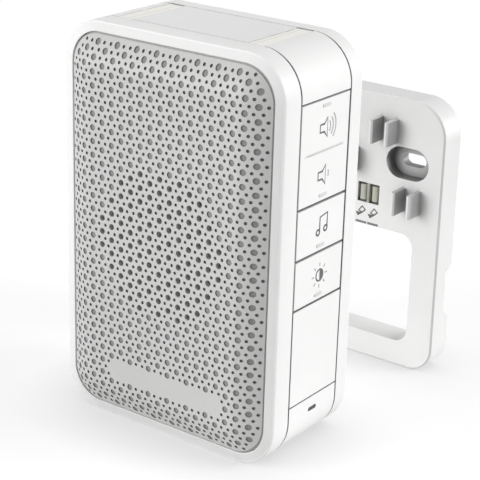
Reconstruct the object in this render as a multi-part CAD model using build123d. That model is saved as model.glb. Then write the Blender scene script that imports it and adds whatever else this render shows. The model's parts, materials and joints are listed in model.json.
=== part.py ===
from build123d import *
import math
import os

# Doorbell chime box that stands on its base, with its wall bracket standing apart behind it.
# Millimetres. The origin is the centre of the base, +Z is up, the grille faces -Y and the
# buttons are on the +X side.

# The chime's case
box_width = 83.0
box_height = 130.0
corner_radius = 14.0
front_shell_depth = 8.4
band_depth = 25.8
rear_shell_depth = 7.0
base_setback = 12.0
shell_wall = 2.2
seam_gap = 0.5
fit_gap = 0.3
overrun = 1.0
small_sides = 10

# Front bezel
rim_plate = 2.0
rim_width = 3.5
rim_round = 1.2
rear_round = 1.5
round_steps = 3

# Grille panel
grille_gap = 0.35
grille_corner = 10.7
grille_wall = 1.8
grille_flange = 2.0
flange_reach = 1.0
crown_height = 4.0
crown_roll = 10.0
crown_corner = 2.0
crown_steps = 4
underside_steps = 2
hole_pitch = 2.54
row_pitch = 2.2
sound_hole = 2.0
sound_ring = 3.0
sound_margin = 0.6
hole_sides = 8

# Speaker
speaker_inset = 14.5
cloth_ring = 1.0
cloth_thick = 0.4
basket_flange = 1.2
basket_depth = 9.5
basket_back = 16.5
basket_wall = 1.0
gasket_width = 2.2
cone_ring = 4.0
cone_neck = 8.0
cone_depth = 6.0
cone_wall = 0.6
cone_drop = 0.8
roll_width = 2.2
speaker_sides = 24
magnet_radius = 14.5
magnet_depth = 5.0

# Mid frame
frame_wall = 1.8
baffle_plate = 2.0
boss_radius = 3.0
low_screw_inset = 17.5
low_screw_z = 14.0
top_screw_inset = 11.5
top_screw_drop = 15.0
standoff_radius = 2.6

# Band panels, buttons and their seams
lower_seam_z = 19.1
top_seam_drop = 15.2
key_fields = 6
cap_wall = 1.8
edge_break = 0.3
button_travel = 0.5
post_size = 4.0
guide_gap = 0.3
press_gap = 0.05
leg_thick = 1.2
leg_width = 4.0
leg_spread = 16.0
barb_reach = 0.8
barb_thick = 1.2
divider_width = 0.6
divider_depth = 0.35
divider_length = 18.5
rocker_post_spread = 18.0
rocker_post_gap = 0.4
rocker_window = 0.8
lug_width = 6.0
lug_height = 4.4
pin_radius = 0.8
pin_depth = 6.6
pin_ear = 1.6
ear_size = 4.6
run_gap = 0.05
strip_width = 5.9
strip_drop = 0.2
strip_window_inset = 1.0
light_lip = 2.6
status_length = 4.0
status_width = 1.0
status_z = 14.75
status_drop = 0.25
status_stem = 4.0

# Boards and their parts
board_thick = 1.6
main_board_y = 1.0
board_gap = 0.9
main_board_low_z = 20.0
main_board_drop = 20.0
standoff_edge = 3.5
standoff_inset = 5.0
switch_setback = 12.1
switch_board_low_z = 8.0
switch_board_drop = 18.0
switch_board_depth = 14.2
tact_size = 6.0
tact_body = 3.4
tact_plunger_radius = 1.6
tact_plunger = 0.8
light_board_drop = 8.4
light_board_reach = 1.5
light_board_depth = 14.0
led_length = 3.5
led_width = 2.8
led_height = 1.9
led_step = 3.5
rib_width = 6.0
capacitor_radius = 4.0
capacitor_height = 3.0
chip_size = 10.0
chip_height = 1.2
coil_size = 14.0
coil_height = 4.0
inner_gap = 0.2

# Rear cover
nest_depth = 5.0
nest_floor = 1.6
nest_wall = 1.8
nest_gap = 1.2
hook_room = 1.2
well_wall = 1.2
head_radius = 2.8
head_depth = 1.7
head_gap = 0.2
well_drop = 3.8
well_floor = 1.9
shank_radius = 1.25
shank_hole = 1.6
shank_length = 10.0
board_screw_head = 1.3
board_screw_radius = 2.2
board_screw_length = 6.0
pilot_gap = 0.05
contact_hole = 2.6
contact_pin = 0.8
contact_drop = 0.1
contact_block_low = 1.0
contact_block_height = 8.4
contact_block_width = 27.0
contact_block_depth = 9.0

# Wall bracket, standing behind the chime
bracket_distance = 51.3
bracket_offset = 6.0
bracket_side_room = 8.6
bracket_top_room = 33.3
bracket_depth = 10.5
bracket_taper = 0.7
bracket_top_corner = 12.0
bracket_low_corner = 9.0
bracket_plate = 2.2
bracket_wall = 2.0
bracket_edge = 0.6
window_width = 54.0
window_low_z = 9.2
window_drop = 47.5
window_corner = 5.0
recess_inset = 14.35
recess_drop = 22.3
recess_length = 16.5
recess_height = 11.2
recess_depth = 5.0
slot_length = 9.1
slot_height = 4.5
slot_floor = 3.5
hook_width = 7.5
hook_rib = 1.5
hook_height = 8.3
hook_reach = 7.2
hook_round = 0.5
mid_hook_drop = 28.4
inner_hook_x = 14.75
inner_hook_drop = 15.8
outer_hook_inset = 12.2
outer_hook_drop = 39.2
notch_low_z = 19.3
notch_top_z = 38.8
notch_floor_low_z = 22.0
notch_floor_top_z = 36.3
notch_depth = 3.6
lift_into_nest = 6.0

# Wire terminals in the bracket
terminal_x = 8.3
terminal_drop = 39.5
terminal_width = 8.6
terminal_height = 7.1
terminal_bar = 0.9
block_margin = 0.5
block_low_gap = 0.2
block_top_margin = 1.3
block_depth = 7.2
tab_offset = 2.35
tab_width = 2.6
tab_height = 5.5
tab_depth = 4.4
tab_drop = 0.5
tab_gap = 0.35
tab_travel = 0.8
tab_rib = 0.3
entry_width = 4.4
entry_height = 1.0
entry_depth = 4.5
wire_hole = 1.3
wire_hole_y = 4.4

# Levels that follow from these sizes
band_front = -base_setback
band_rear = band_front + band_depth
rim_front = band_front - front_shell_depth
case_rear = band_rear + rear_shell_depth
band_mid = (band_front + band_rear) / 2
panel_front = band_front + seam_gap / 2
panel_rear = band_rear - seam_gap / 2
side = box_width / 2
middle_z = box_height / 2
frame_inset = shell_wall + fit_gap
frame_inner = frame_inset + frame_wall
flange_front = rim_front + rim_plate
flange_rear = flange_front + grille_flange
baffle_front = flange_rear + inner_gap
baffle_rear = baffle_front + baffle_plate
nest_level = case_rear - nest_depth
nest_under = nest_level - nest_floor
frame_rear = nest_under - fit_gap
strip_outer = side - corner_radius
strip_inner = strip_outer - strip_width
button_height = (box_height - lower_seam_z - top_seam_drop) / key_fields
blank_low = lower_seam_z
light_low = blank_low + 2 * button_height
melody_low = light_low + button_height
rocker_low = melody_low + button_height
rocker_top = rocker_low + 2 * button_height
rocker_mid = (rocker_low + rocker_top) / 2
grille_width = box_width - 2 * (rim_width + grille_gap)
grille_height = box_height - 2 * (rim_width + grille_gap)
basket_radius = side - speaker_inset
cloth_radius = basket_radius - cloth_ring
cone_radius = basket_radius - cone_ring
sound_zone = basket_radius - sound_ring
crown_top = rim_front - crown_height
cloth_front = crown_top + grille_wall
switch_board_x = side - switch_setback
switch_board_top_z = box_height - switch_board_drop
tact_face = switch_board_x + board_thick + tact_body + tact_plunger
frame_face = side - frame_inset
frame_back = side - frame_inner
main_board_rear = main_board_y + board_thick
main_board_width = 2 * (switch_board_x - board_gap)
main_board_top_z = box_height - main_board_drop
standoff_x = main_board_width / 2 - standoff_edge
light_board_width = 2 * (strip_outer + light_board_reach)
light_board_z = box_height - light_board_drop - board_thick
bracket_front = case_rear + bracket_distance
bracket_rear = bracket_front + bracket_depth
bracket_back = bracket_front + bracket_plate
bracket_width = box_width - bracket_side_room
bracket_height = box_height - bracket_top_room
window_top_z = bracket_height - window_drop
recess_x = bracket_width / 2 - recess_inset
recess_z = bracket_height - recess_drop
terminal_low_z = bracket_height - terminal_drop
outer_hook_x = bracket_width / 2 - outer_hook_inset
hook_spots = (
    (0, bracket_height - mid_hook_drop),
    (inner_hook_x, bracket_height - inner_hook_drop),
    (-inner_hook_x, bracket_height - inner_hook_drop),
    (outer_hook_x, bracket_height - outer_hook_drop),
    (-outer_hook_x, bracket_height - outer_hook_drop),
)
tab_spots = tuple(
    side_sign * terminal_x + shift
    for side_sign in (-1, 1)
    for shift in (-tab_offset, tab_offset)
)
case_screw_spots = (
    (side - low_screw_inset, low_screw_z),
    (low_screw_inset - side, low_screw_z),
    (side - top_screw_inset, box_height - top_screw_drop),
    (top_screw_inset - side, box_height - top_screw_drop),
)
standoff_spots = tuple(
    (sign * standoff_x, height)
    for sign in (-1, 1)
    for height in (main_board_low_z + standoff_inset, main_board_top_z - standoff_inset)
)


# Basic forms: a box between two corners, and outlines drawn in X and Z that run along Y
def block(x0, x1, y0, y1, z0, z1):
    centre = Pos((x0 + x1) / 2, (y0 + y1) / 2, (z0 + z1) / 2)
    return centre * Box(x1 - x0, y1 - y0, z1 - z0)


def upright(y):
    return Plane(origin=(0, y, 0), x_dir=(1, 0, 0), z_dir=(0, -1, 0))


def slab(outline, front, rear):
    return extrude(upright(rear) * outline, rear - front)


def rod_y(radius, front, rear, x, z):
    return slab(Pos(x, z) * Circle(radius), front, rear)


# Small rods and bores that repeat have few sides, which keeps their meshes light
def peg_y(radius, front, rear, x, z, sides=small_sides):
    return slab(Pos(x, z) * RegularPolygon(radius, sides), front, rear)


def peg_x(radius, x0, x1, y, z):
    start = Plane(origin=(x0, y, z), x_dir=(0, 1, 0), z_dir=(1, 0, 0))
    return extrude(start * RegularPolygon(radius, small_sides), x1 - x0)


def peg_z(radius, z0, z1, x, y):
    return extrude(Plane.XY.offset(z0) * Pos(x, y) * RegularPolygon(radius, small_sides), z1 - z0)


def long_hole(length, height, x, z):
    return Pos(x, z) * SlotOverall(length, height)


def case_outline(inset):
    width = box_width - 2 * inset
    height = box_height - 2 * inset
    return Pos(0, middle_z) * RectangleRounded(width, height, corner_radius - inset)


# Rounded edge of a shell: bands between outlines that step in along a quarter circle
def rounded_edge(base, tip):
    radius = abs(tip - base)
    sections = []
    for step in range(round_steps + 1):
        angle = math.pi / 2 * step / round_steps
        y = base + (tip - base) * math.sin(angle)
        sections.append(upright(y) * case_outline(radius * (1 - math.cos(angle))))
    return loft(sections, ruled=True)


# Front shell
def front_bezel():
    shell = slab(case_outline(0), rim_front + rim_round, band_front - seam_gap / 2)
    shell += rounded_edge(rim_front + rim_round, rim_front)
    shell -= slab(case_outline(shell_wall), flange_front, band_front + overrun)
    opening = Pos(0, middle_z) * RectangleRounded(
        grille_width + 2 * grille_gap, grille_height + 2 * grille_gap, grille_corner + grille_gap
    )
    return shell - slab(opening, rim_front - overrun, band_front)


def crown_section(inset, share, y):
    travel = inset + crown_roll * share
    start_corner = grille_corner - inset
    corner = start_corner + (crown_corner - start_corner) * share
    outline = RectangleRounded(grille_width - 2 * travel, grille_height - 2 * travel, corner)
    return upright(y) * Pos(0, middle_z) * outline


# Pillow form: the edge rolls up along a quarter sine wave to a flat middle
def crown(inset, lift, steps):
    sections = []
    for step in range(steps + 1):
        share = step / steps
        rise = crown_height * math.sin(math.pi / 2 * share)
        sections.append(crown_section(inset, share, rim_front + lift - rise))
    return loft(sections, ruled=True)


# Triangular lattice: in each row every third hole is a wide one, and rows shift by half a step
def sound_spots():
    spots = []
    rows = int(sound_zone / row_pitch)
    columns = int(sound_zone / hole_pitch)
    for row in range(-rows, rows + 1):
        odd = row % 2
        for column in range(-columns - 1, columns + 1):
            x = (column + odd / 2) * hole_pitch
            z = row * row_pitch
            if column % 3 == odd and math.hypot(x, z) < sound_zone - sound_margin:
                spots.append((x, middle_z + z))
    return spots


def grille_panel():
    flange = Pos(0, middle_z) * RectangleRounded(
        grille_width + 2 * flange_reach, grille_height + 2 * flange_reach, grille_corner + flange_reach
    )
    panel = slab(flange, flange_front, flange_rear)
    neck = crown_section(0, 0, flange_front)
    panel += extrude(neck, rim_plate)
    panel += crown(0, 0, crown_steps)
    panel -= crown(grille_wall, grille_wall, underside_steps)
    inside = crown_section(grille_wall, 0, flange_rear + overrun)
    panel -= extrude(inside, flange_rear + overrun - rim_front - grille_wall)
    holes = [
        peg_y(sound_hole / 2, crown_top - overrun, cloth_front + overrun, x, z, hole_sides)
        for x, z in sound_spots()
    ]
    return panel - holes


# Speaker behind the sound holes, turned about the middle of the grille
def speaker_disc(radius, front, rear):
    return slab(Pos(0, middle_z) * RegularPolygon(radius, speaker_sides), front, rear)


def speaker_funnel(front_radius, rear_radius, front, rear):
    widening = (front_radius - rear_radius) * math.cos(math.pi / speaker_sides)
    slope = math.degrees(math.atan2(widening, rear - front))
    neck = upright(rear) * Pos(0, middle_z) * RegularPolygon(rear_radius, speaker_sides)
    return extrude(neck, rear - front, taper=-slope)


def speaker_cloth():
    return speaker_disc(cloth_radius, cloth_front, cloth_front + cloth_thick)


def speaker_gasket():
    front = cloth_front + cloth_thick
    rear = baffle_front - basket_flange
    ring = speaker_disc(basket_radius, front, rear)
    return ring - speaker_disc(basket_radius - gasket_width, front - overrun, rear + overrun)


def speaker_basket():
    face = baffle_front - basket_flange
    neck = basket_radius - gasket_width
    deep = face + basket_depth
    body = speaker_disc(basket_radius, face, baffle_front)
    body += speaker_funnel(neck, basket_back, baffle_front, deep)
    body -= speaker_disc(neck - basket_wall, face - overrun, baffle_front)
    return body - speaker_funnel(neck - basket_wall, basket_back - basket_wall,
                                 baffle_front, deep - basket_wall)


def speaker_cone():
    front = baffle_front - basket_flange + cone_drop
    rear = front + cone_depth
    inner = cone_radius - roll_width
    cone = speaker_disc(cone_radius, front, front + cone_wall)
    cone += speaker_funnel(inner, cone_neck, front + cone_wall, rear)
    return cone - speaker_funnel(inner, cone_neck, front, rear - cone_wall)


def speaker_magnet():
    front = baffle_front - basket_flange + basket_depth
    return speaker_disc(magnet_radius, front, front + magnet_depth)


# Mid frame: a ring inside the panels, a baffle for the speaker, and the bosses and ears
def post_window(z, width, height):
    return block(
        frame_back - overrun, frame_face + overrun,
        band_mid - width / 2, band_mid + width / 2,
        z - height / 2, z + height / 2,
    )


def leg_window(z, sign):
    outer = band_mid + sign * (leg_spread / 2 + guide_gap)
    inner = band_mid + sign * (leg_spread / 2 - leg_thick - guide_gap)
    return block(
        frame_back - overrun, frame_face + overrun,
        min(inner, outer), max(inner, outer),
        z - leg_width / 2 - guide_gap, z + leg_width / 2 + guide_gap,
    )


def rocker_ears():
    low = frame_back - pin_depth + ear_size / 2
    ears = []
    for sign in (-1, 1):
        near = band_mid + sign * (lug_width / 2 + fit_gap)
        far = near + sign * pin_ear
        ear = block(
            low, frame_back + frame_wall / 2, min(near, far), max(near, far),
            rocker_mid - ear_size / 2, rocker_mid + ear_size / 2,
        )
        bore = rod_y(pin_radius + pilot_gap, ear.bounding_box().min.Y - overrun,
                     ear.bounding_box().max.Y + overrun, pin_x(), rocker_mid)
        ears.append(ear - bore)
    return ears


def pin_x():
    return frame_back - pin_depth + ear_size


def mid_frame():
    frame = slab(case_outline(frame_inset), baffle_front, frame_rear)
    frame -= slab(case_outline(frame_inner), baffle_rear, frame_rear + overrun)
    frame -= rod_y(basket_radius - gasket_width + fit_gap, baffle_front - overrun,
                   baffle_rear + overrun, 0, middle_z)
    boss_end = nest_level - well_drop - inner_gap
    for x, z in case_screw_spots:
        frame += peg_y(boss_radius, baffle_rear, boss_end, x, z)
        frame -= peg_y(shank_radius + pilot_gap, nest_level - well_floor - shank_length,
                       boss_end + overrun, x, z)
    for x, z in standoff_spots:
        frame += peg_y(standoff_radius, baffle_rear, main_board_y, x, z)
        frame -= peg_y(shank_radius + pilot_gap, main_board_rear - board_screw_length - inner_gap,
                       main_board_y + overrun, x, z)
    post = post_size + 2 * guide_gap
    for low in (light_low, melody_low):
        mid = low + button_height / 2
        frame -= post_window(mid, post, post)
        frame -= leg_window(mid, 1)
        frame -= leg_window(mid, -1)
    swing_post = post_size + 2 * rocker_window
    for sign in (-1, 1):
        frame -= post_window(rocker_mid + sign * rocker_post_spread / 2, swing_post, swing_post)
    frame -= post_window(rocker_mid, lug_width + 2 * fit_gap, lug_height + 2 * rocker_window)
    for ear in rocker_ears():
        frame += ear
    frame -= block(frame_back - overrun, frame_face + overrun,
                   band_mid - status_length / 2 - guide_gap, band_mid + status_length / 2 + guide_gap,
                   status_z - status_width / 2 - guide_gap, status_z + status_width / 2 + guide_gap)
    for sign in (-1, 1):
        edges = (sign * (strip_inner + strip_window_inset), sign * (strip_outer - strip_window_inset))
        frame -= block(min(edges), max(edges), panel_front + light_lip, panel_rear - light_lip,
                       box_height - frame_inner - overrun, box_height)
    rib_low = light_board_z + board_thick + inner_gap
    frame += block(-rib_width / 2, rib_width / 2, band_mid - rib_width / 2, band_mid + rib_width / 2,
                   rib_low, box_height - frame_inner + frame_wall / 2)
    return frame


# Band: thin panels around the middle of the case, parted by seams
def band_ring(wall):
    ring = slab(case_outline(0), panel_front, panel_rear)
    return ring - slab(case_outline(wall), panel_front - overrun, panel_rear + overrun)


def band_piece(x0, x1, z0, z1, wall=shell_wall):
    window = block(x0, x1, band_front - overrun, band_rear + overrun, z0, z1)
    return band_ring(wall) & window


def top_panel():
    reach = strip_inner - seam_gap / 2
    return band_piece(-reach, reach, box_height - corner_radius, box_height + overrun)


def light_strip(sign):
    edges = (sign * (strip_inner + seam_gap / 2), sign * (strip_outer - seam_gap / 2))
    strip = band_piece(min(edges), max(edges), box_height - corner_radius, box_height + overrun)
    return strip - block(min(edges) - overrun, max(edges) + overrun, band_front - overrun,
                         band_rear + overrun, box_height - strip_drop, box_height + overrun)


def top_corner(sign):
    edges = (sign * (strip_outer + seam_gap / 2), sign * (side + overrun))
    return band_piece(min(edges), max(edges), rocker_top + seam_gap / 2, box_height + overrun)


def lower_corner(sign):
    edges = (sign * (strip_outer + seam_gap / 2), sign * (side + overrun))
    return band_piece(min(edges), max(edges), -overrun, lower_seam_z - seam_gap / 2)


def status_outline(growth):
    face = Plane(origin=(side + overrun, band_mid, status_z), x_dir=(0, 1, 0), z_dir=(-1, 0, 0))
    return face * SlotOverall(status_length + 2 * growth, status_width + 2 * growth)


def lower_corner_right():
    hole = extrude(status_outline(inner_gap), shell_wall + 2 * overrun)
    return lower_corner(1) - hole


def status_lens():
    lens = extrude(status_outline(0), overrun + status_drop + shell_wall + status_stem)
    return lens & block(frame_back - status_stem, side - status_drop, band_front, band_rear,
                        0, lower_seam_z)


def left_side_panel():
    return band_piece(-side - overrun, 0, lower_seam_z + seam_gap / 2, rocker_top - seam_gap / 2)


def bottom_panel():
    reach = strip_outer - seam_gap / 2
    return band_piece(-reach, reach, -overrun, corner_radius)


def blank_panel():
    return band_piece(0, side + overrun, blank_low + seam_gap / 2, light_low - seam_gap / 2)


def soften_rim(cap):
    outer = cap.faces().sort_by(Axis.X)[-1].edges()
    return chamfer(outer, edge_break)


def cap_plate(low, high):
    plate = block(side - cap_wall, side, panel_front, panel_rear, low + seam_gap / 2, high - seam_gap / 2)
    return soften_rim(plate)


def cap_post(z, tip):
    return block(tip, side - cap_wall, band_mid - post_size / 2, band_mid + post_size / 2,
                 z - post_size / 2, z + post_size / 2)


def cap_leg(z, sign):
    outer = band_mid + sign * leg_spread / 2
    inner = outer - sign * leg_thick
    catch = outer + sign * barb_reach
    barb_face = frame_back - fit_gap
    low = z - leg_width / 2
    high = z + leg_width / 2
    leg = block(barb_face - barb_thick, side - cap_wall, min(inner, outer), max(inner, outer), low, high)
    return leg + block(barb_face - barb_thick, barb_face, min(outer, catch), max(outer, catch), low, high)


def push_button(low):
    mid = low + button_height / 2
    button = cap_plate(low, low + button_height)
    button += cap_post(mid, tact_face + button_travel + press_gap)
    button += cap_leg(mid, 1)
    button += cap_leg(mid, -1)
    return button


def volume_rocker():
    rocker = cap_plate(rocker_low, rocker_top)
    for sign in (-1, 1):
        rocker += cap_post(rocker_mid + sign * rocker_post_spread / 2, tact_face + rocker_post_gap)
    lug_tip = pin_x() - lug_height / 2
    rocker += block(lug_tip, side - cap_wall, band_mid - lug_width / 2, band_mid + lug_width / 2,
                    rocker_mid - lug_height / 2, rocker_mid + lug_height / 2)
    rocker -= rod_y(pin_radius + run_gap, panel_front, panel_rear, pin_x(), rocker_mid)
    groove = block(side - divider_depth, side + overrun, band_mid - divider_length / 2,
                   band_mid + divider_length / 2, rocker_mid - divider_width / 2,
                   rocker_mid + divider_width / 2)
    return rocker - groove


def rocker_pin():
    reach = lug_width / 2 + fit_gap + pin_ear
    return rod_y(pin_radius, band_mid - reach, band_mid + reach, pin_x(), rocker_mid)


# Boards
def switch_board():
    return block(switch_board_x, switch_board_x + board_thick, band_mid - switch_board_depth / 2,
                 band_mid + switch_board_depth / 2, switch_board_low_z, switch_board_top_z)


def switch_heights():
    middles = [low + button_height / 2 for low in (light_low, melody_low)]
    return middles + [rocker_mid + sign * rocker_post_spread / 2 for sign in (-1, 1)]


def side_switches():
    base = switch_board_x + board_thick
    switches = []
    for z in switch_heights():
        body = block(base, base + tact_body, band_mid - tact_size / 2, band_mid + tact_size / 2,
                     z - tact_size / 2, z + tact_size / 2)
        switches.append(body + peg_x(tact_plunger_radius, base + tact_body, tact_face, band_mid, z))
    return Compound(children=switches)


def status_led():
    base = switch_board_x + board_thick
    return block(base, base + led_height, band_mid - led_length / 2, band_mid + led_length / 2,
                 status_z - led_width / 2, status_z + led_width / 2)


def light_board():
    return block(-light_board_width / 2, light_board_width / 2, band_mid - light_board_depth / 2,
                 band_mid + light_board_depth / 2, light_board_z, light_board_z + board_thick)


def strip_leds():
    base = light_board_z + board_thick
    middle = (strip_inner + strip_outer) / 2
    leds = []
    for sign in (-1, 1):
        for row in (-1, 0, 1):
            x = sign * middle
            y = band_mid + row * led_step
            leds.append(block(x - led_length / 2, x + led_length / 2, y - led_width / 2,
                              y + led_width / 2, base, base + led_height))
    return Compound(children=leds)


def main_board():
    board = block(-main_board_width / 2, main_board_width / 2, main_board_y, main_board_rear,
                  main_board_low_z, main_board_top_z)
    for x, z in standoff_spots:
        board -= peg_y(shank_hole, main_board_y - overrun, main_board_rear + overrun, x, z)
    return board


def board_parts():
    face = main_board_rear
    centre = (main_board_low_z + contact_low()) / 2
    coil = block(-coil_size / 2, coil_size / 2, face, face + coil_height,
                 centre - coil_size / 2, centre + coil_size / 2)
    chip_top = main_board_top_z - standoff_inset
    chip = block(-chip_size / 2, chip_size / 2, face, face + chip_height, chip_top - chip_size, chip_top)
    can_x = coil_size / 2 + 2 * capacitor_radius
    cans = [peg_y(capacitor_radius, face, face + capacitor_height, sign * can_x, centre)
            for sign in (-1, 1)]
    return Compound(children=[coil, chip] + cans)


def screw(x, z, head_front, head_thick, head_size, length):
    head = peg_y(head_size, head_front, head_front + head_thick, x, z)
    return head + peg_y(shank_radius, head_front - length, head_front, x, z)


def board_screws():
    screws = [
        screw(x, z, main_board_rear, board_screw_head, board_screw_radius, board_screw_length)
        for x, z in standoff_spots
    ]
    return Compound(children=screws)


# Contacts that meet the bracket's terminals when the chime hangs on it
def contact_low():
    return terminal_low_z + lift_into_nest - contact_block_low


def contact_block():
    low = contact_low()
    housing = block(-contact_block_width / 2, contact_block_width / 2, main_board_rear,
                    main_board_rear + contact_block_depth, low, low + contact_block_height)
    for x in tab_spots:
        housing -= peg_y(contact_pin + inner_gap, main_board_rear - overrun,
                         main_board_rear + contact_block_depth + overrun, x, contact_mid())
    return housing


def contact_mid():
    return terminal_low_z + lift_into_nest + terminal_height / 2


def contact_pins():
    pins = [peg_y(contact_pin, main_board_rear, nest_level - contact_drop, x, contact_mid())
            for x in tab_spots]
    return Compound(children=pins)


# Wall bracket outline, drawn about its own middle and lifted by a base height
def bracket_outline(growth, base=0):
    half = bracket_width / 2 + growth
    top_half = half - bracket_taper
    low = base - growth
    high = base + bracket_height + growth
    points = ((-half, low), (half, low), (top_half, high), (-top_half, high))
    corners = make_face(Polyline(*points, close=True))
    ordered = corners.vertices().sort_by(Axis.Y)
    rounded = fillet(ordered[:2], bracket_low_corner + growth)
    sharp = [vertex for vertex in rounded.vertices() if vertex.Y > high - overrun]
    return fillet(sharp, bracket_top_corner + growth)


# Rear shell with the nest that takes the bracket, and the slots for its hooks
def rear_cover():
    shell = slab(case_outline(0), band_rear + seam_gap / 2, case_rear - rear_round)
    shell += rounded_edge(case_rear - rear_round, case_rear)
    shell -= slab(case_outline(shell_wall), band_rear - overrun, case_rear - shell_wall)
    nest = bracket_outline(nest_gap, lift_into_nest)
    tub = slab(bracket_outline(nest_gap + nest_wall, lift_into_nest), nest_under, case_rear - rear_round)
    shell += tub & slab(case_outline(seam_gap), nest_under, case_rear)
    well_end = nest_level - well_drop
    for x, z in case_screw_spots:
        shell += peg_y(head_radius + head_gap + well_wall, well_end, case_rear - shell_wall, x, z)
    shell -= slab(nest, nest_level, case_rear + overrun)
    for x, z in case_screw_spots:
        shell -= peg_y(head_radius + head_gap, nest_level - well_floor, case_rear + overrun, x, z)
        shell -= peg_y(shank_hole, well_end - overrun, nest_level, x, z)
    for x, z in hook_spots:
        half = hook_width / 2 + hook_room
        low = z + lift_into_nest - hook_room
        shell -= block(x - half, x + half, nest_under - overrun, nest_level + overrun,
                       low, low + hook_height + 2 * hook_room)
    for x in tab_spots:
        shell -= peg_y(contact_hole / 2, nest_under - overrun, nest_level + overrun, x, contact_mid())
    return shell


def case_screws():
    seat = nest_level - well_floor
    screws = [screw(x, z, seat, head_depth, head_radius, shank_length) for x, z in case_screw_spots]
    return Compound(children=screws)


def hook(x, low):
    ribs = None
    for sign in (-1, 1):
        outer = x + sign * hook_width / 2
        inner = outer - sign * hook_rib
        rib = block(min(inner, outer), max(inner, outer), bracket_front - hook_reach,
                    bracket_front + bracket_plate / 2, low, low + hook_height)
        tip = rib.faces().sort_by(Axis.Y)[0].edges().filter_by(Axis.Z)
        rib = chamfer(tip, hook_round)
        ribs = rib if ribs is None else ribs + rib
    return ribs


def notch_cutter():
    floor = bracket_depth - notch_depth
    start = Plane(origin=(window_width / 2 - overrun, bracket_front, 0), x_dir=(0, 1, 0), z_dir=(1, 0, 0))
    rear = bracket_depth + overrun
    slope_top = (notch_top_z - notch_floor_top_z) * overrun / notch_depth
    slope_low = (notch_floor_low_z - notch_low_z) * overrun / notch_depth
    outline = make_face(Polyline(
        (floor, notch_floor_low_z),
        (rear, notch_low_z - slope_low),
        (rear, notch_top_z + slope_top),
        (floor, notch_floor_top_z),
        close=True,
    ))
    return extrude(start * outline, (bracket_width - window_width) / 2 + 2 * overrun)


def wall_bracket():
    body = slab(bracket_outline(0), bracket_front, bracket_rear)
    body = chamfer(body.faces().sort_by(Axis.Y)[0].edges(), bracket_edge)
    body -= slab(bracket_outline(-bracket_wall), bracket_back, bracket_rear + overrun)
    window_mid = (window_low_z + window_top_z) / 2
    window_height = window_top_z - window_low_z
    frame = Pos(0, window_mid) * RectangleRounded(
        window_width + 2 * bracket_wall, window_height + 2 * bracket_wall, window_corner + bracket_wall
    )
    body += slab(frame, bracket_back - overrun, bracket_rear)
    opening = Pos(0, window_mid) * RectangleRounded(window_width, window_height, window_corner)
    body -= slab(opening, bracket_front - overrun, bracket_rear + overrun)
    for sign in (-1, 1):
        spot = (sign * recess_x, recess_z)
        rim = long_hole(recess_length + 2 * bracket_wall, recess_height + 2 * bracket_wall, *spot)
        body += slab(rim, bracket_back - overrun, bracket_rear)
        recess = long_hole(recess_length, recess_height, *spot)
        floor = bracket_front + recess_depth
        body -= slab(recess, bracket_front - overrun, floor)
        body -= slab(recess, floor + slot_floor, bracket_rear + overrun)
        body -= slab(long_hole(slot_length, slot_height, *spot), floor - overrun, bracket_rear)
        middle = sign * terminal_x
        for shift in (-1, 1):
            near = middle + shift * terminal_bar / 2
            far = middle + shift * terminal_width / 2
            body -= block(min(near, far), max(near, far), bracket_front - overrun,
                          bracket_back + overrun, terminal_low_z, terminal_low_z + terminal_height)
            entry = middle + shift * tab_offset
            body -= block(entry - entry_width / 2, entry + entry_width / 2,
                          bracket_front - overrun, bracket_front + entry_depth,
                          window_top_z - overrun, window_top_z + entry_height)
            body -= peg_z(wire_hole, window_top_z - overrun, window_top_z + bracket_wall + overrun,
                          entry, bracket_front + wire_hole_y)
    for x, low in hook_spots:
        body += hook(x, low)
    body -= notch_cutter()
    return Pos(bracket_offset, 0, 0) * body


def terminal_block(sign):
    middle = sign * terminal_x
    half = terminal_width / 2 + block_margin
    low = window_top_z + bracket_wall + block_low_gap
    high = terminal_low_z + terminal_height + block_top_margin
    block_rear = bracket_back + block_depth
    housing = block(middle - half, middle + half, bracket_back, block_rear, low, high)
    tab_mid = terminal_low_z + terminal_height / 2
    well_rear = bracket_front + tab_drop + tab_depth + tab_travel + tab_gap
    for shift in (-1, 1):
        x = middle + shift * tab_offset
        housing -= block(x - tab_width / 2 - tab_gap, x + tab_width / 2 + tab_gap,
                         bracket_back - overrun, well_rear,
                         tab_mid - tab_height / 2 - tab_gap, tab_mid + tab_height / 2 + tab_gap)
        housing -= peg_z(wire_hole, low - overrun, tab_mid, x, bracket_front + wire_hole_y)
    return Pos(bracket_offset, 0, 0) * housing


def release_tab(x):
    front = bracket_front + tab_drop
    tab_mid = terminal_low_z + terminal_height / 2
    tab = block(x - tab_width / 2, x + tab_width / 2, front, front + tab_depth,
                tab_mid - tab_height / 2, tab_mid + tab_height / 2)
    tab = chamfer(tab.faces().sort_by(Axis.Y)[0].edges(), tab_rib)
    return Pos(bracket_offset, 0, 0) * tab


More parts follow.
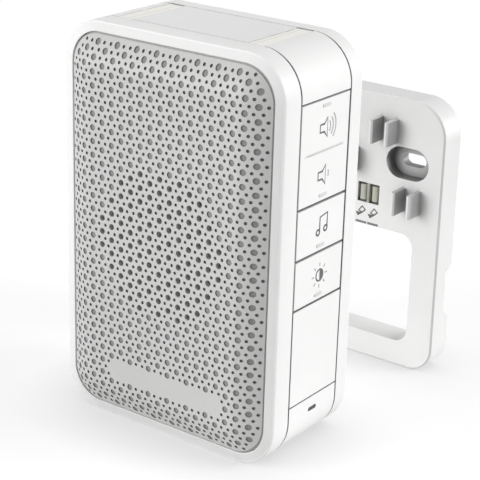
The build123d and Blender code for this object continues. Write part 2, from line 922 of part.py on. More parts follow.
parts = {
    "front_bezel": front_bezel(),
    "grille_panel": grille_panel(),
    "speaker_cloth": speaker_cloth(),
    "speaker_gasket": speaker_gasket(),
    "speaker_basket": speaker_basket(),
    "speaker_cone": speaker_cone(),
    "speaker_magnet": speaker_magnet(),
    "mid_frame": mid_frame(),
    "top_panel": top_panel(),
    "light_strip_left": light_strip(-1),
    "light_strip_right": light_strip(1),
    "top_corner_left": top_corner(-1),
    "top_corner_right": top_corner(1),
    "left_side_panel": left_side_panel(),
    "lower_corner_left": lower_corner(-1),
    "lower_corner_right": lower_corner_right(),
    "bottom_panel": bottom_panel(),
    "blank_panel": blank_panel(),
    "volume_rocker": volume_rocker(),
    "rocker_pin": rocker_pin(),
    "melody_button": push_button(melody_low),
    "light_button": push_button(light_low),
    "status_lens": status_lens(),
    "status_led": status_led(),
    "switch_board": switch_board(),
    "side_switches": side_switches(),
    "light_board": light_board(),
    "strip_leds": strip_leds(),
    "main_board": main_board(),
    "board_parts": board_parts(),
    "board_screws": board_screws(),
    "contact_block": contact_block(),
    "contact_pins": contact_pins(),
    "rear_cover": rear_cover(),
    "case_screws": case_screws(),
    "wall_bracket": wall_bracket(),
    "terminal_block_left": terminal_block(-1),
    "terminal_block_right": terminal_block(1),
}
for number, spot in enumerate(tab_spots, start=1):
    parts["release_tab_%d" % number] = release_tab(spot)

os.makedirs("parts", exist_ok=True)
for name, shape in parts.items():
    export_step(shape, "parts/%s.step" % name)
print(len(parts), "parts written")
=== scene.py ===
import json
import math

import bmesh
import bpy
from mathutils import Matrix, Vector


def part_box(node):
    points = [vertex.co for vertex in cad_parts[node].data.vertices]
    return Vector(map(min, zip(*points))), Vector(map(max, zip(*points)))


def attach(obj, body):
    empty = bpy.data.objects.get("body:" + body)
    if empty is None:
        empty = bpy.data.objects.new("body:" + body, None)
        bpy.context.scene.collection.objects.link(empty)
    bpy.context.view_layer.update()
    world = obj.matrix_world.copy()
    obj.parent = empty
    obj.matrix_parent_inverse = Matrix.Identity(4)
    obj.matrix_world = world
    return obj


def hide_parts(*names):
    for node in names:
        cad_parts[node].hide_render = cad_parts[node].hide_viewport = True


# Doorbell chime box with its wall bracket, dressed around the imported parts.
# Lengths in the dictionaries are millimetres and the mm factor turns them into metres, apart from
# the camera's clip ends, the depths of the bumps and the floor's size, which are metres.

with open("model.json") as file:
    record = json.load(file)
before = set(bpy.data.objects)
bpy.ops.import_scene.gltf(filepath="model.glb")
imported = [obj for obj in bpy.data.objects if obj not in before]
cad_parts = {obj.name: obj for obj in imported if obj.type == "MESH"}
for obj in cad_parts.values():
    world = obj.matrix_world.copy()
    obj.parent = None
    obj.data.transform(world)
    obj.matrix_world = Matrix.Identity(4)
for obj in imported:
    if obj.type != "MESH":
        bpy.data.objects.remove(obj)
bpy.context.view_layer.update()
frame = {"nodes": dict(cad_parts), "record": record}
mm = 0.001
scene = bpy.context.scene

print("stage: frame loaded,", len(frame["nodes"]), "nodes")


def nodeBox(name):
    low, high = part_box(name)
    return Vector(low), Vector(high)


# Where things are, read from the frame
bezelLow, bezelHigh = nodeBox("front_bezel")
rockerLow, rockerHigh = nodeBox("volume_rocker")
melodyLow, melodyHigh = nodeBox("melody_button")
lightLow, lightHigh = nodeBox("light_button")
bracketLow, bracketHigh = nodeBox("wall_bracket")
sideX = bezelHigh.x
rimFront = bezelLow.y
middleZ = (bezelLow.z + bezelHigh.z) / 2
bandMid = (rockerLow.y + rockerHigh.y) / 2

# The bracket's plate: its thickness, its front face, and the top edge of the window in it
plateThick = 2.2 * mm
bracketFront = nodeBox("terminal_block_right")[0].y - plateThick
windowTop = 49.2 * mm

# Limits for telling faces and edges apart: a length in metres, and a share of a unit normal
tiny = 1e-6
facingLimit = 0.9


# Camera at the photograph's viewing angle, solved from the edges of the case
cameraView = {
    "place": (280.375, -368.029, 236.421),
    "azimuth": 36.0461,
    "elevation": 20.7783,
    "roll": 1.6956,
    "lens": 117.5866,
    "sensor": 36.0,
    "near": 0.02,
    "far": 20.0,
}


def makeCamera(view):
    data = bpy.data.cameras.new("camera")
    data.lens = view["lens"]
    data.sensor_width = view["sensor"]
    data.clip_start = view["near"]
    data.clip_end = view["far"]
    camera = bpy.data.objects.new("camera", data)
    scene.collection.objects.link(camera)
    turn = Matrix.Rotation(math.radians(view["azimuth"]), 4, "Z")
    tilt = Matrix.Rotation(math.radians(90 - view["elevation"]), 4, "X")
    roll = Matrix.Rotation(math.radians(view["roll"]), 4, "Z")
    camera.matrix_world = Matrix.Translation(Vector(view["place"]) * mm) @ turn @ tilt @ roll
    scene.camera = camera


makeCamera(cameraView)


# Node helpers: plain values are set on a node's sockets, outputs of other nodes are linked to them
def addNode(tree, kind, sockets=(), **settings):
    node = tree.nodes.new(kind)
    for key, value in settings.items():
        setattr(node, key, value)
    for key, value in dict(sockets).items():
        if isinstance(value, bpy.types.NodeSocket):
            tree.links.new(value, node.inputs[key])
        else:
            node.inputs[key].default_value = value
    return node


def mathNode(tree, operation, first, second=0.0):
    return addNode(tree, "ShaderNodeMath", {0: first, 1: second}, operation=operation).outputs["Value"]


def mapped(tree, source, fromLow, fromHigh, toLow=0.0, toHigh=1.0):
    node = addNode(tree, "ShaderNodeMapRange", {"Value": source, "From Min": fromLow, "From Max": fromHigh,
                                                "To Min": toLow, "To Max": toHigh})
    return node.outputs["Result"]


def mixedSurface(tree, factor, first, second, blend="MIX"):
    node = addNode(tree, "ShaderNodeMix", {"Factor": factor, "A": first, "B": second},
                   data_type="RGBA", blend_type=blend)
    return node.outputs["Result"]


def objectPlace(tree):
    return addNode(tree, "ShaderNodeTexCoord").outputs["Object"]


def objectAxes(tree):
    return addNode(tree, "ShaderNodeSeparateXYZ", {"Vector": objectPlace(tree)}).outputs


def insideBand(tree, source, low, high):
    above = mathNode(tree, "GREATER_THAN", source, low)
    return mathNode(tree, "MULTIPLY", above, mathNode(tree, "LESS_THAN", source, high))


def clearTree(owner):
    owner.use_nodes = True
    owner.node_tree.nodes.clear()
    return owner.node_tree


# Materials: every finish is a small node tree on Object coordinates. Noise gathers round its
# middle value, so only that part of it is spread over roughness and colour
noiseLook = {"detail": 3.0, "rough": 0.55, "valueLow": 0.3, "valueHigh": 0.7,
             "colorLow": 0.35, "colorHigh": 0.65}


def newMaterial(name):
    material = bpy.data.materials.new(name)
    tree = clearTree(material)
    shader = addNode(tree, "ShaderNodeBsdfPrincipled")
    addNode(tree, "ShaderNodeOutputMaterial", {"Surface": shader.outputs["BSDF"]})
    return material, tree, shader


def objectNoise(tree, scale, detail=noiseLook["detail"]):
    noise = addNode(tree, "ShaderNodeTexNoise", {"Vector": objectPlace(tree), "Scale": scale,
                                                 "Detail": detail, "Roughness": noiseLook["rough"]})
    return noise.outputs["Fac"]


def ranged(tree, source, low, high):
    return mapped(tree, source, noiseLook["valueLow"], noiseLook["valueHigh"], low, high)


def mixedColor(tree, source, colorA, colorB):
    ramp = addNode(tree, "ShaderNodeValToRGB", {"Fac": source})
    first, second = ramp.color_ramp.elements
    first.position = noiseLook["colorLow"]
    second.position = noiseLook["colorHigh"]
    first.color = (*colorA, 1)
    second.color = (*colorB, 1)
    return ramp.outputs["Color"]


def scaled(color, share):
    return tuple(min(1.0, channel * share) for channel in color)


def addBump(tree, shader, source, strength, distance):
    bump = addNode(tree, "ShaderNodeBump", {"Height": source, "Strength": strength, "Distance": distance})
    tree.links.new(bump.outputs["Normal"], shader.inputs["Normal"])


# Painted shade inside each seam of the case: it starts a little under the outline and stays between
# the two shells, with soft lines of painted shade along the front and the rear seam; the shallow
# groove across the volume key gets a lighter painted shade instead
seamLook = {
    "corner": 14.0,
    "start": 0.05,
    "full": 0.13,
    "front": -12.3,
    "rear": 13.95,
    "color": (0.34, 0.34, 0.34),
    "topShadeColor": (0.42, 0.42, 0.42),
    "lines": (-12.0, 13.8),
    "lineHalf": 0.25,
    "lineFade": 0.46,
    "grooveHalf": 0.5,
    "grooveLength": 21.0,
    "grooveShade": 0.16,
    "topFrom": 127.0,
    "topTo": 129.6,
    "topShare": 0.42,
    "stripFrom": 21.4,
    "stripTo": 27.2,
}


# How deep a point lies under the rounded outline of the case, seen from the front
def outlineDepth(tree, axes, corner):
    spanX = (bezelHigh.x - bezelLow.x) / 2 - corner
    spanZ = (bezelHigh.z - bezelLow.z) / 2 - corner
    acrossX = mathNode(tree, "SUBTRACT", mathNode(tree, "ABSOLUTE", axes["X"]), spanX)
    fromMiddle = mathNode(tree, "SUBTRACT", axes["Z"], middleZ)
    acrossZ = mathNode(tree, "SUBTRACT", mathNode(tree, "ABSOLUTE", fromMiddle), spanZ)
    roundX = mathNode(tree, "MAXIMUM", acrossX, 0.0)
    roundZ = mathNode(tree, "MAXIMUM", acrossZ, 0.0)
    squares = mathNode(tree, "ADD", mathNode(tree, "MULTIPLY", roundX, roundX),
                       mathNode(tree, "MULTIPLY", roundZ, roundZ))
    reach = mathNode(tree, "SQRT", squares)
    flat = mathNode(tree, "MINIMUM", mathNode(tree, "MAXIMUM", acrossX, acrossZ), 0.0)
    return mathNode(tree, "SUBTRACT", mathNode(tree, "SUBTRACT", corner, reach), flat)


def seamShade(tree, look, groove, deeper):
    axes = objectAxes(tree)
    depth = outlineDepth(tree, axes, look["corner"] * mm)
    shade = mapped(tree, depth, (look["start"] + deeper) * mm, (look["full"] + deeper) * mm)
    band = insideBand(tree, axes["Y"], look["front"] * mm, look["rear"] * mm)
    shade = mathNode(tree, "MULTIPLY", shade, band)
    for line in look["lines"]:
        away = mathNode(tree, "ABSOLUTE", mathNode(tree, "SUBTRACT", axes["Y"], line * mm))
        soft = mapped(tree, away, look["lineFade"] * mm, look["lineHalf"] * mm)
        shade = mathNode(tree, "MAXIMUM", shade, soft)
    if groove:
        middle = (rockerLow.z + rockerHigh.z) / 2
        half = look["grooveHalf"] * mm
        length = look["grooveLength"] * mm / 2
        spared = mathNode(tree, "MULTIPLY", insideBand(tree, axes["Z"], middle - half, middle + half),
                          insideBand(tree, axes["Y"], bandMid - length, bandMid + length))
        shade = mathNode(tree, "MULTIPLY", shade, mathNode(tree, "SUBTRACT", 1.0, spared))
        shade = mathNode(tree, "ADD", shade, mathNode(tree, "MULTIPLY", spared, look["grooveShade"]))
    # The painted seam shade is paler over the top, apart from the ends of the light strips
    fade = mapped(tree, axes["Z"], look["topFrom"] * mm, look["topTo"] * mm, 1.0, look["topShare"])
    besideX = mathNode(tree, "ABSOLUTE", axes["X"])
    stripEnd = insideBand(tree, besideX, look["stripFrom"] * mm, look["stripTo"] * mm)
    return mathNode(tree, "MULTIPLY", shade, mathNode(tree, "MAXIMUM", fade, stripEnd))


# Painted shade in the bracket's recesses and round its hooks, from its own occlusion and deeper behind
# the front of its plate, and painted shade that darkens the bracket towards its top
hollowLook = {"distance": 20.0, "samples": 8, "dark": 0.22, "light": 0.92, "least": 0.40,
              "deepLeast": 0.16, "deepFrom": 0.3, "top": 0.84}


def hollowShade(tree, look):
    axes = objectAxes(tree)
    closeness = addNode(tree, "ShaderNodeAmbientOcclusion", {"Distance": look["distance"] * mm},
                        only_local=True, samples=look["samples"])
    behind = mathNode(tree, "GREATER_THAN", axes["Y"], bracketFront + look["deepFrom"] * mm)
    darker = mathNode(tree, "MULTIPLY", behind, look["least"] - look["deepLeast"])
    least = mathNode(tree, "SUBTRACT", look["least"], darker)
    shaded = mapped(tree, closeness.outputs["AO"], look["dark"], look["light"], least)
    # Painted shade: the bracket grows darker towards its top
    topShade = mapped(tree, axes["Z"], 0.0, bracketHigh.z, 1.0, look["top"])
    return mathNode(tree, "MULTIPLY", shaded, topShade)


# Moulded plastic: faint clouds in the colour, a fine grain in the gloss and the relief
plasticLook = {"cloudScale": 35.0, "cloudDetail": 2.0, "grainScale": 2600.0, "grainDetail": 2.0,
               "roughSpread": 0.05, "specular": 0.4, "bumpDepth": 0.00003}


def mouldedPlastic(name, color, rough=0.42, shade=0.97, relief=0.10, seamShadeColor=None, groove=False,
                   deeper=0.0, hollows=None):
    look = plasticLook
    material, tree, shader = newMaterial(name)
    cloudy = objectNoise(tree, look["cloudScale"], look["cloudDetail"])
    surface = mixedColor(tree, cloudy, scaled(color, shade), color)
    # Painted shade in and beside each seam, mixed towards the given shade colour
    if seamShadeColor:
        surface = mixedSurface(tree, seamShade(tree, seamLook, groove, deeper), surface, (*seamShadeColor, 1))
    # Painted shade of the bracket's hollows, multiplied into the colour
    if hollows:
        surface = mixedSurface(tree, 1.0, surface, hollowShade(tree, hollows), "MULTIPLY")
    tree.links.new(surface, shader.inputs["Base Color"])
    fine = objectNoise(tree, look["grainScale"], look["grainDetail"])
    uneven = ranged(tree, fine, rough - look["roughSpread"], rough + look["roughSpread"])
    tree.links.new(uneven, shader.inputs["Roughness"])
    shader.inputs["Specular IOR Level"].default_value = look["specular"]
    if relief:
        addBump(tree, shader, fine, relief, look["bumpDepth"])
    return material


# Metal: the same fine grain moves colour, gloss and relief
metalLook = {"scale": 900.0, "shade": 0.85, "roughLow": 0.24, "roughHigh": 0.42, "relief": 0.15,
             "bumpDepth": 0.00005}


def brushedMetal(name, color):
    look = metalLook
    material, tree, shader = newMaterial(name)
    fine = objectNoise(tree, look["scale"])
    tree.links.new(mixedColor(tree, fine, scaled(color, look["shade"]), color), shader.inputs["Base Color"])
    tree.links.new(ranged(tree, fine, look["roughLow"], look["roughHigh"]), shader.inputs["Roughness"])
    shader.inputs["Metallic"].default_value = 1.0
    addBump(tree, shader, fine, look["relief"], look["bumpDepth"])
    return material


# Speaker cloth: two crossing waves make the weave
clothLook = {"scale": 900.0, "shade": 0.5, "rough": 0.9, "relief": 0.5, "bumpDepth": 0.0002}


def wovenCloth(name, color):
    look = clothLook
    material, tree, shader = newMaterial(name)
    heights = []
    for axis in ("X", "Z"):
        wave = addNode(tree, "ShaderNodeTexWave", {"Vector": objectPlace(tree), "Scale": look["scale"]},
                       bands_direction=axis)
        heights.append(wave.outputs["Fac"])
    weave = mathNode(tree, "MULTIPLY", *heights)
    tree.links.new(mixedColor(tree, weave, scaled(color, look["shade"]), color), shader.inputs["Base Color"])
    shader.inputs["Roughness"].default_value = look["rough"]
    addBump(tree, shader, weave, look["relief"], look["bumpDepth"])
    return material


# Printed marks: slightly patchy ink
inkLook = {"scale": 1500.0, "detail": 2.0, "lighter": 1.12, "roughLow": 0.49, "roughHigh": 0.61}


def printedInk(name, color):
    look = inkLook
    material, tree, shader = newMaterial(name)
    patchy = objectNoise(tree, look["scale"], look["detail"])
    patches = mixedColor(tree, patchy, color, scaled(color, look["lighter"]))
    tree.links.new(patches, shader.inputs["Base Color"])
    tree.links.new(ranged(tree, patchy, look["roughLow"], look["roughHigh"]), shader.inputs["Roughness"])
    return material


# Finishes by material slot, then the colours of printed marks and trim, and the painted shade of the
# pits, the grille's groove, the touch pills, the key's divider and the wire entries
finishes = {
    "shell_white": mouldedPlastic("shell white", (0.90, 0.90, 0.895), seamShadeColor=seamLook["color"]),
    "grille_grey": mouldedPlastic("grille light grey", (0.58, 0.58, 0.573), rough=0.5),
    "top_grey": mouldedPlastic("top panel white", (0.88, 0.88, 0.885), seamShadeColor=seamLook["topShadeColor"]),
    "strip_cream": mouldedPlastic("light strip cream", (0.96, 0.945, 0.885), rough=0.35, shade=0.99,
                                  relief=0.0, seamShadeColor=seamLook["topShadeColor"], deeper=0.25),
    "frame_grey": mouldedPlastic("chassis grey", (0.22, 0.22, 0.225), rough=0.55),
    "cloth_black": wovenCloth("speaker cloth", (0.02, 0.02, 0.021)),
    "foam_black": mouldedPlastic("foam black", (0.02, 0.02, 0.02), rough=0.9, relief=0.5),
    "basket_steel": mouldedPlastic("basket black paint", (0.03, 0.03, 0.03), rough=0.4),
    "cone_black": mouldedPlastic("cone black", (0.02, 0.02, 0.022), rough=0.7),
    "magnet_plate": brushedMetal("magnet plate", (0.55, 0.55, 0.56)),
    "pin_steel": brushedMetal("pin steel", (0.60, 0.60, 0.61)),
    "lens_smoke": mouldedPlastic("lens smoke", (0.06, 0.06, 0.065), rough=0.2),
    "led_white": mouldedPlastic("lamp resin", (0.85, 0.82, 0.62), rough=0.25),
    "board_green": mouldedPlastic("board green", (0.02, 0.12, 0.05), rough=0.3),
    "switch_black": mouldedPlastic("switch black", (0.03, 0.03, 0.03), rough=0.5),
    "screw_steel": brushedMetal("screw steel", (0.58, 0.58, 0.58)),
    "contact_brass": brushedMetal("contact brass", (0.80, 0.60, 0.28)),
    "bracket_white": mouldedPlastic("bracket white", (0.90, 0.90, 0.895), rough=0.5, hollows=hollowLook),
    "terminal_dark": mouldedPlastic("terminal dark", (0.035, 0.037, 0.03), rough=0.5),
    "tab_cream": mouldedPlastic("tab cream", (0.48, 0.48, 0.405), rough=0.45),
}
keyWhite = mouldedPlastic("volume key white", (0.90, 0.90, 0.895), seamShadeColor=seamLook["color"], groove=True)
# Painted shade: pit floors and walls darker than the grille, in place of the shade in them
pitShadeGrey = mouldedPlastic("wide pit painted shade", (0.265, 0.265, 0.262), rough=0.7)
pinholeShadeGrey = mouldedPlastic("small pit painted shade", (0.19, 0.19, 0.188), rough=0.7)
# Painted shade: the floor of the groove round the grille
lipShadeGrey = mouldedPlastic("groove painted shade", (0.37, 0.37, 0.368), rough=0.6)
# Painted shade: the touch pills are pale grey for the shade of their relief
pillShadeGrey = mouldedPlastic("touch mark painted shade", (0.70, 0.70, 0.695), rough=0.5)
# Painted shade: the pale grey floor of the volume key's groove
dividerShadeGrey = mouldedPlastic("divider painted shade", (0.66, 0.66, 0.655), rough=0.5)
inkGrey = printedInk("icon grey", (0.11, 0.11, 0.113))
inkPale = printedInk("icon pale grey", (0.36, 0.36, 0.36))
inkDark = printedInk("arrow dark", (0.10, 0.10, 0.10))
stripLineCream = mouldedPlastic("strip line cream", (0.74, 0.725, 0.655), rough=0.4)
barCream = mouldedPlastic("terminal bar cream", (0.37, 0.37, 0.31), rough=0.45)
# Painted shade: the dark grey of the wire entries
entryShade = mouldedPlastic("wire entry shade", (0.21, 0.21, 0.21), rough=0.7)
slotOfNode = {entry["node"]: entry["material_slot"] for entry in frame["record"]["subparts"]}

for name, node in frame["nodes"].items():
    node.data.materials.clear()
    node.data.materials.append(keyWhite if name == "volume_rocker" else finishes[slotOfNode[name]])
print("stage: finishes assigned")


# Everything on the bracket is gathered here, for the lamps of its own
bracketPieces = [frame["nodes"][name] for name in frame["nodes"]
                 if name.startswith(("wall_bracket", "terminal_block", "release_tab"))]


# Making pieces from a bmesh
smoothAngle = 35.0


def addPiece(name, mesh, body, slot, material=None, replaced=()):
    data = bpy.data.meshes.new(name)
    mesh.to_mesh(data)
    mesh.free()
    piece = bpy.data.objects.new(name, data)
    scene.collection.objects.link(piece)
    data.materials.append(material or finishes[slot])
    data.shade_smooth()
    data.set_sharp_from_angle(angle=math.radians(smoothAngle))
    if replaced:
        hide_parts(*replaced)
    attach(piece, body)
    if body == "bracket" or body.startswith("tab_"):
        bracketPieces.append(piece)
    return piece


# A flat rectangle with round corners, upright and seen from the front
def roundedFace(mesh, width, height, corner, y, steps, centre=(0.0, 0.0)):
    place = Matrix.Translation((centre[0], y, centre[1])) @ Matrix.Rotation(math.radians(90), 4, "X")
    place = place @ Matrix.Diagonal((width, height, 1.0, 1.0))
    verts = bmesh.ops.create_grid(mesh, x_segments=1, y_segments=1, size=0.5, matrix=place)["verts"]
    rounded = bmesh.ops.bevel(mesh, geom=verts, offset=corner, offset_type="OFFSET", segments=steps,
                              profile=0.5, affect="VERTICES", clamp_overlap=False, material=-1)
    return rounded["verts"][0].link_faces[0]


def roundedLoop(mesh, *sizes):
    face = roundedFace(mesh, *sizes)
    edges = face.edges[:]
    bmesh.ops.delete(mesh, geom=[face], context="FACES_ONLY")
    return edges


# Bridges each loop to the next and the last to the first, and gives the faces of each strip
def bridgeAll(mesh, loops):
    pairs = zip(loops, loops[1:] + loops[:1])
    return [bmesh.ops.bridge_loops(mesh, edges=first + second)["faces"] for first, second in pairs]


def boxMesh(low, high):
    mesh = bmesh.new()
    middle = (low + high) / 2
    size = high - low
    place = Matrix.Translation(middle) @ Matrix.Diagonal((size.x, size.y, size.z, 1.0))
    bmesh.ops.create_cube(mesh, size=1.0, matrix=place)
    return mesh


def softenEdges(mesh, edges, offset, steps):
    bmesh.ops.bevel(mesh, geom=edges, offset=offset * mm, offset_type="OFFSET", segments=steps,
                    profile=0.5, affect="EDGES", clamp_overlap=True, material=-1)


# Front shell: rim that leans back a little from the groove to the outside, soft outer edge
bezelLook = {
    "corner": 14.0,
    "rimWidth": 3.35,
    "lean": 0.55,
    "outerRound": 0.55,
    "innerRound": 0.15,
    "roundSteps": 3,
    "plate": 2.0,
    "wall": 2.2,
    "cornerSteps": 18,
    "shadeTilt": 35.0,
}


def makeBezel(look):
    width = (bezelHigh.x - bezelLow.x) / mm
    height = (bezelHigh.z - bezelLow.z) / mm
    front = rimFront / mm
    rear = bezelHigh.y / mm
    profile = [(0.0, rear), (0.0, front + look["lean"] + look["outerRound"])]
    for step in range(1, look["roundSteps"] + 1):
        angle = math.radians(90 * step / look["roundSteps"])
        inset = look["outerRound"] * (1 - math.cos(angle))
        profile.append((inset, front + look["lean"] + look["outerRound"] * (1 - math.sin(angle))))
    bandIndex = len(profile) - 1
    profile.append((look["rimWidth"] - look["innerRound"], front))
    profile.append((look["rimWidth"], front + look["innerRound"]))
    profile.append((look["rimWidth"], front + look["plate"]))
    profile.append((look["wall"], front + look["plate"]))
    profile.append((look["wall"], rear))
    mesh = bmesh.new()
    mark = mesh.faces.layers.int.new("band")
    loops = []
    for inset, y in profile:
        loops.append(roundedLoop(mesh, (width - 2 * inset) * mm, (height - 2 * inset) * mm,
                                 (look["corner"] - inset) * mm, y * mm, look["cornerSteps"],
                                 (0.0, middleZ)))
    strips = bridgeAll(mesh, loops)
    for face in strips[bandIndex]:
        face[mark] = 1
    bmesh.ops.recalc_face_normals(mesh, faces=mesh.faces[:])
    piece = addPiece("bezel", mesh, "chime", "shell_white", replaced=["front_bezel"])
    leanShading(piece, look["shadeTilt"])


# The rim's shading leans outwards, as on a shell whose face is softly rounded over its width
def leanShading(piece, tilt):
    data = piece.data
    lean = math.radians(tilt)
    normals = [Vector(corner.vector) for corner in data.corner_normals]
    marks = data.attributes["band"].data
    for polygon in data.polygons:
        if not marks[polygon.index].value:
            continue
        out = Vector((polygon.normal.x, 0.0, polygon.normal.z))
        if out.length == 0:
            continue
        out.normalize()
        leant = out * math.sin(lean) + Vector((0, -1, 0)) * math.cos(lean)
        for loop in polygon.loop_indices:
            normals[loop] = leant
    data.normals_split_custom_set([tuple(normal) for normal in normals])


makeBezel(bezelLook)
print("stage: front shell")


# Grille: hexagonal cells welded into a sheet, each with its hole, then crowned and rolled at the edge
grilleLook = {
    "gap": 0.6,
    "corner": 10.6,
    "crown": 4.0,
    "roll": 10.0,
    "wall": 1.8,
    "pitch": 2.523,
    "rowPitch": 2.187,
    "largeRadius": 1.02,
    "smallRadius": 0.52,
    "largeDepth": 0.38,
    "smallDepth": 0.5,
    "floorShare": 0.92,
    "soundRadius": 23.4,
    "largeRoom": 1.35,
    "smallRoom": 0.6,
    "bareRows": (-22, -21, -20),
    "bareFrom": -19.4,
    "bareTo": 24.4,
    "cornerCuts": 10,
    "weld": 0.02,
    "ringInset": 0.12,
    "lipOut": 0.03,
    "lipIn": 0.9,
    "lipDrop": 0.5,
    "lipThick": 0.6,
    "lipSteps": 12,
}


# The plate's outline and the pitches of its lattice
def platePlan(look):
    edge = (bezelLook["rimWidth"] + look["gap"]) * mm
    return {
        "halfWidth": sideX - edge,
        "halfHeight": (bezelHigh.z - bezelLow.z) / 2 - edge,
        "corner": look["corner"] * mm,
        "pitch": look["pitch"] * mm,
        "rowPitch": look["rowPitch"] * mm,
    }


# How far a point lies inside the plate's rounded outline
def roomInside(plan, x, z):
    acrossX = abs(x) - (plan["halfWidth"] - plan["corner"])
    acrossZ = abs(z - middleZ) - (plan["halfHeight"] - plan["corner"])
    outside = math.hypot(max(acrossX, 0.0), max(acrossZ, 0.0))
    return plan["corner"] - outside - min(max(acrossX, acrossZ), 0.0)


# Odd rows of the lattice are shifted by half a pitch
def rowShift(row):
    return 0.5 * (row % 2)


def siteAt(plan, x, z):
    row = round((z - middleZ) / plan["rowPitch"])
    column = round(x / plan["pitch"] - rowShift(row))
    return row, column, (column + rowShift(row)) * plan["pitch"], middleZ + row * plan["rowPitch"]


# None, a small pit, a large pit, or a sound hole right through in front of the speaker
def holeKind(look, plan, row, column, x, z):
    large = column % 3 == row % 2
    if roomInside(plan, x, z) < (look["largeRoom"] if large else look["smallRoom"]) * mm:
        return None
    if row in look["bareRows"] and look["bareFrom"] * mm < x < look["bareTo"] * mm:
        return None
    if not large:
        return "small"
    return "sound" if math.hypot(x, z - middleZ) < look["soundRadius"] * mm else "large"


def cellSheet(look, plan):
    mesh = bmesh.new()
    facing = Matrix.Rotation(math.radians(90), 4, "X")
    rows = int(plan["halfHeight"] / plan["rowPitch"]) + 1
    columns = int(plan["halfWidth"] / plan["pitch"]) + 1
    for row in range(-rows, rows + 1):
        for column in range(-columns - 1, columns + 1):
            place = Vector(((column + rowShift(row)) * plan["pitch"], rimFront,
                            middleZ + row * plan["rowPitch"]))
            bmesh.ops.create_circle(mesh, cap_ends=True, segments=6, radius=plan["pitch"] / math.sqrt(3),
                                    matrix=Matrix.Translation(place) @ facing)
    bmesh.ops.remove_doubles(mesh, verts=mesh.verts[:], dist=look["weld"] * mm)
    return mesh


# Cuts along the rounded outline, a fan of planes at each corner
def trimSheet(mesh, look, plan):
    corner = plan["corner"]
    for index, (signX, signZ) in enumerate(((1, 1), (-1, 1), (-1, -1), (1, -1))):
        middle = Vector((signX * (plan["halfWidth"] - corner), rimFront,
                         middleZ + signZ * (plan["halfHeight"] - corner)))
        for cut in range(look["cornerCuts"] + 1):
            angle = math.radians(90 * index + 90 * cut / look["cornerCuts"])
            outwards = Vector((math.cos(angle), 0.0, math.sin(angle)))
            everything = mesh.verts[:] + mesh.edges[:] + mesh.faces[:]
            bmesh.ops.bisect_plane(mesh, geom=everything, dist=tiny, plane_co=middle + outwards * corner,
                                   plane_no=outwards, clear_outer=True)


def thickenSheet(mesh, look):
    grown = bmesh.ops.extrude_face_region(mesh, geom=mesh.faces[:])["geom"]
    backVerts = [item for item in grown if isinstance(item, bmesh.types.BMVert)]
    backFaces = [item for item in grown if isinstance(item, bmesh.types.BMFace)
                 and abs(item.normal.y) > facingLimit]
    bmesh.ops.translate(mesh, verts=backVerts, vec=(0, look["wall"] * mm, 0))
    frontFaces = [face for face in mesh.faces if abs(face.normal.y) > facingLimit
                  and abs(face.calc_center_median().y - rimFront) < look["weld"] * mm]
    return frontFaces, backFaces


# Every cell with a hole gets a round ring: pits on the front only, sound holes on both sides
def markHoles(mesh, look, plan, frontFaces, backFaces):
    holes = []
    for atFront, faces in ((True, frontFaces), (False, backFaces)):
        for face in faces:
            middle = face.calc_center_median()
            site = siteAt(plan, middle.x, middle.z)
            kind = holeKind(look, plan, *site)
            if kind == "sound" or (kind and atFront):
                holes.append((face, kind, site))
    edges = {edge for face, _, _ in holes for edge in face.edges}
    for edge in edges:
        bmesh.utils.edge_split(edge, edge.verts[0], 0.5)
    bmesh.ops.inset_individual(mesh, faces=[face for face, _, _ in holes],
                               thickness=look["ringInset"] * mm, use_even_offset=True)
    through = {}
    pits = {"small": [], "large": []}
    for face, kind, (row, column, x, z) in holes:
        radius = look["smallRadius" if kind == "small" else "largeRadius"] * mm
        for vert in face.verts:
            away = Vector((vert.co.x - x, 0.0, vert.co.z - z)).normalized() * radius
            vert.co.x = x + away.x
            vert.co.z = z + away.z
        if kind == "sound":
            through.setdefault((row, column), []).append(face)
        else:
            pits[kind].append(face)
    return through, pits


# Floors of the pits: narrower than the mouth, with one painted shade colour for floor and wall
def sinkPits(mesh, look, faces, depth, slotIndex):
    for floor in bmesh.ops.extrude_discrete_faces(mesh, faces=faces)["faces"]:
        middle = floor.calc_center_median()
        for vert in floor.verts:
            vert.co.x = middle.x + (vert.co.x - middle.x) * look["floorShare"]
            vert.co.z = middle.z + (vert.co.z - middle.z) * look["floorShare"]
            vert.co.y += depth * mm
        for edge in floor.edges:
            for face in edge.link_faces:
                face.material_index = slotIndex


def openSoundHoles(mesh, through):
    gone = []
    for faces in through.values():
        gone.extend(faces)
        bmesh.ops.bridge_loops(mesh, edges=[edge for face in faces for edge in face.edges])
    bmesh.ops.delete(mesh, geom=gone, context="FACES_ONLY")


# Lifts the sheet by the crown, and rolls it down to the rim along its edge
def crownSheet(mesh, look, plan):
    for vert in mesh.verts:
        share = min(max(roomInside(plan, vert.co.x, vert.co.z) / (look["roll"] * mm), 0.0), 1.0)
        vert.co.y -= look["crown"] * mm * math.sin(math.pi / 2 * share)


def makeGrille(look):
    plan = platePlan(look)
    mesh = cellSheet(look, plan)
    trimSheet(mesh, look, plan)
    frontFaces, backFaces = thickenSheet(mesh, look)
    through, pits = markHoles(mesh, look, plan, frontFaces, backFaces)
    sinkPits(mesh, look, pits["small"], look["smallDepth"], 1)
    sinkPits(mesh, look, pits["large"], look["largeDepth"], 2)
    openSoundHoles(mesh, through)
    crownSheet(mesh, look, plan)
    bmesh.ops.recalc_face_normals(mesh, faces=mesh.faces[:])
    print("grille:", len(through), "sound holes,", len(pits["large"]), "pits,", len(pits["small"]),
          "small pits,", len(mesh.faces), "faces")
    piece = addPiece("perforated_grille", mesh, "chime", "grille_grey", replaced=["grille_panel"])
    piece.data.materials.append(pinholeShadeGrey)
    piece.data.materials.append(pitShadeGrey)
